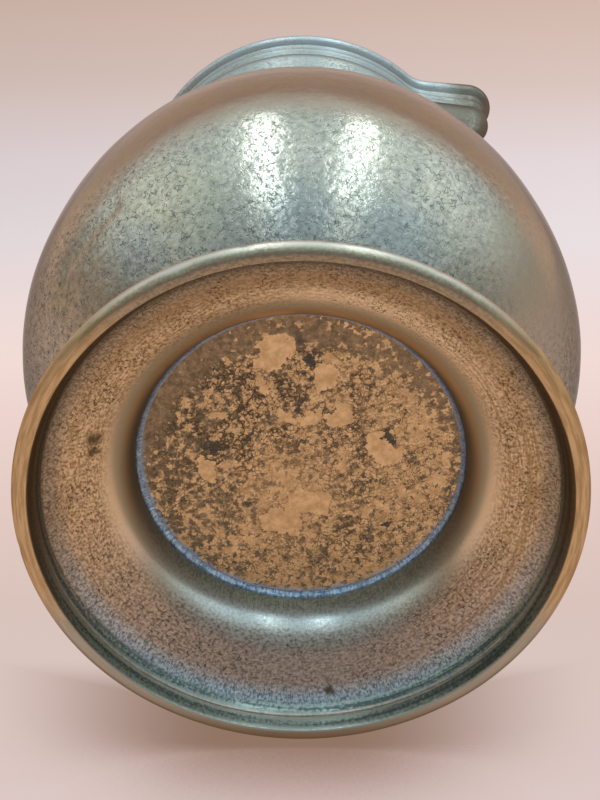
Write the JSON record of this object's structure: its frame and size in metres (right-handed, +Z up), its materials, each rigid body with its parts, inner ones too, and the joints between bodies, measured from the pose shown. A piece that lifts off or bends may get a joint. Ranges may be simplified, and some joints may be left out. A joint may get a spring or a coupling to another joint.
{
  "type": "kalash pot",
  "caption": "Round-bellied brass water pot on a flared hollow foot, with a waisted neck, a ridged rim and a pointed pouring lip; stands on the foot's rolled rim and pours over the lip.",
  "frame": {"origin": "centre of the circle on which the foot rests, on the pot's axis", "axes": "+Z up along the pot's axis, +X towards the pouring lip"},
  "size_m": [0.107, 0.107, 0.146],
  "materials": {
    "foot_brass": "turned, tarnished gold with brown speckle",
    "base_brass": "unpolished, dark brown with bare gold patches",
    "solder": "dull blue-white solder",
    "braze": "filed flush",
    "belly_brass": "polished, aged grey-green with a fine crackle",
    "mouth_brass": "polished cast ridges, aged grey-green"
  },
  "bodies": {
    "root": {"foot_ring": "foot_brass", "base_disc": "base_brass", "base_solder": "solder", "waist_braze": "braze", "lower_bowl": "belly_brass", "belly_braze": "braze", "upper_bowl": "belly_brass", "neck_braze": "braze", "mouth": "mouth_brass"}
  },
  "joints": []
}
